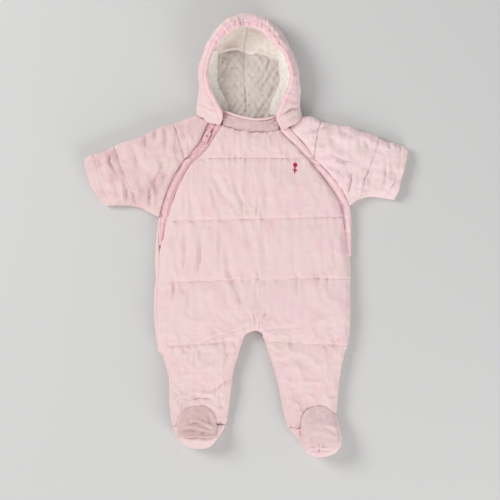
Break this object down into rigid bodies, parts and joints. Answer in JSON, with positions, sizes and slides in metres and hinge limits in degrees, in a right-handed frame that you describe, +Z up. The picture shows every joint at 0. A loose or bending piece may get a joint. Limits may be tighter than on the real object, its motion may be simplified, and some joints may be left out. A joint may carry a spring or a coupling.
{
  "type": "baby snowsuit",
  "caption": "Padded baby snowsuit with hood, raglan sleeves, two curved front zips under plackets and built-in feet, laid flat on its back.",
  "frame": {"origin": "on the surface it lies on, under the middle of its outline", "axes": "+X towards the wearer's left, +Y towards the hood, +Z up from the surface, out of the front"},
  "size_m": [0.5066, 0.69, 0.0471],
  "materials": {
    "shell_cloth": "soft brushed pale pink cotton, quilted over padding",
    "placket_cloth": "pink woven cotton strip, folded and topstitched",
    "lining_cloth": "thin crinkled off-white quilted lining",
    "fleece": "cream fleece",
    "zip_tape": "pink woven zip tape",
    "zip_metal": "semi-gloss pink enamel"
  },
  "bodies": {
    "suit": {"front_panel": "shell_cloth", "back_panel": "shell_cloth", "sleeve_right": "shell_cloth", "sleeve_left": "shell_cloth", "neck_band": "shell_cloth", "hood_side_right": "shell_cloth", "hood_side_left": "shell_cloth", "foot_vamp_right": "shell_cloth", "foot_vamp_left": "shell_cloth", "foot_sole_right": "shell_cloth", "foot_sole_left": "shell_cloth", "placket_right": "placket_cloth", "hood_lining_right": "lining_cloth", "hood_facing_right": "fleece", "zip_tape_right": "zip_tape", "slider_right": "zip_metal", "placket_left": "placket_cloth", "hood_lining_left": "lining_cloth", "hood_facing_left": "fleece", "zip_tape_left": "zip_tape", "slider_left": "zip_metal", "pull_tab_left": "zip_metal"},
    "pull_tab": {"pull_tab_right": "zip_metal"}
  },
  "joints": [
    {"name": "pull_tab_swing", "type": "hinge", "parent": "suit", "child": "pull_tab", "pos_m": [-0.0564, 0.1672, 0.0164], "axis": [-0.9021, 0.4316, 0], "range_deg": [0, 110]}
  ]
}
